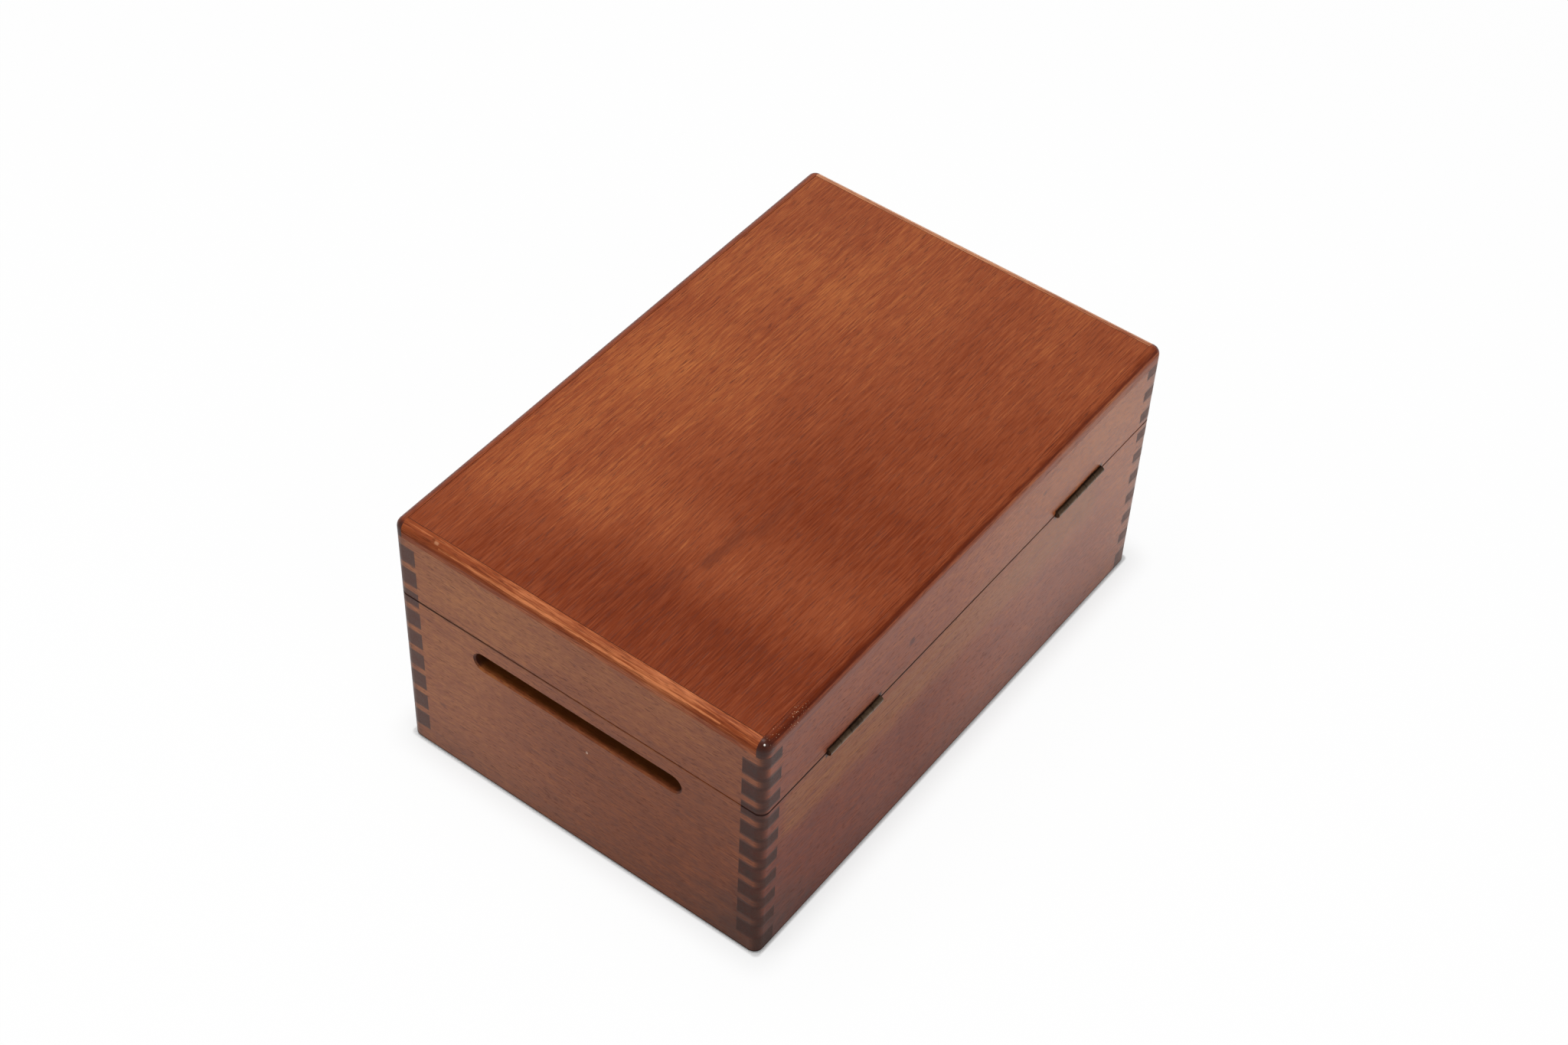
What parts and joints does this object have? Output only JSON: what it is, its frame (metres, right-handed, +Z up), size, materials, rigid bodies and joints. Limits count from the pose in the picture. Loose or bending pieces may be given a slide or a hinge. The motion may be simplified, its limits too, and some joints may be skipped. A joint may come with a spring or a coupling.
{
  "type": "wooden liquor box",
  "caption": "Finger-jointed wooden box with a hinged lid sawn from the same carcass, a veneered and lipped top, butt hinges at the back and a hand slot in each end.",
  "frame": {"origin": "on the floor under the middle of the whole footprint, hinge barrels included", "axes": "+X along the length, +Y towards the hinged back, +Z up"},
  "size_m": [0.4, 0.2687, 0.192],
  "materials": {
    "box_boards": "satin lacquered red-brown hardwood",
    "lippings": "satin lacquered solid hardwood",
    "face_veneer": "satin lacquered figured veneer",
    "inner_veneer": "thinly lacquered veneer",
    "core_board": "raw board, hidden",
    "bottom_plywood": "thinly lacquered plywood",
    "hinge_brass": "darkened, worn",
    "screw_brass": "darkened"
  },
  "bodies": {
    "base": {"base_front": "box_boards", "base_back": "box_boards", "base_left_end": "box_boards", "base_right_end": "box_boards", "bottom_panel": "bottom_plywood", "left_hinge_base_leaf": "hinge_brass", "right_hinge_base_leaf": "hinge_brass", "left_hinge_pin": "hinge_brass", "right_hinge_pin": "hinge_brass", "base_hinge_screws": "screw_brass"},
    "lid": {"lid_front": "box_boards", "lid_back": "box_boards", "lid_left_end": "box_boards", "lid_right_end": "box_boards", "lid_front_lipping": "lippings", "lid_back_lipping": "lippings", "lid_left_lipping": "lippings", "lid_right_lipping": "lippings", "lid_top_veneer": "face_veneer", "lid_under_veneer": "inner_veneer", "lid_core_panel": "core_board", "left_hinge_lid_leaf": "hinge_brass", "right_hinge_lid_leaf": "hinge_brass", "lid_hinge_screws": "screw_brass"}
  },
  "joints": [
    {"name": "lid_hinge", "type": "hinge", "parent": "base", "child": "lid", "pos_m": [0, 0.13205, 0.13175], "axis": [-1, 0, 0], "range_deg": [0, 180]}
  ]
}
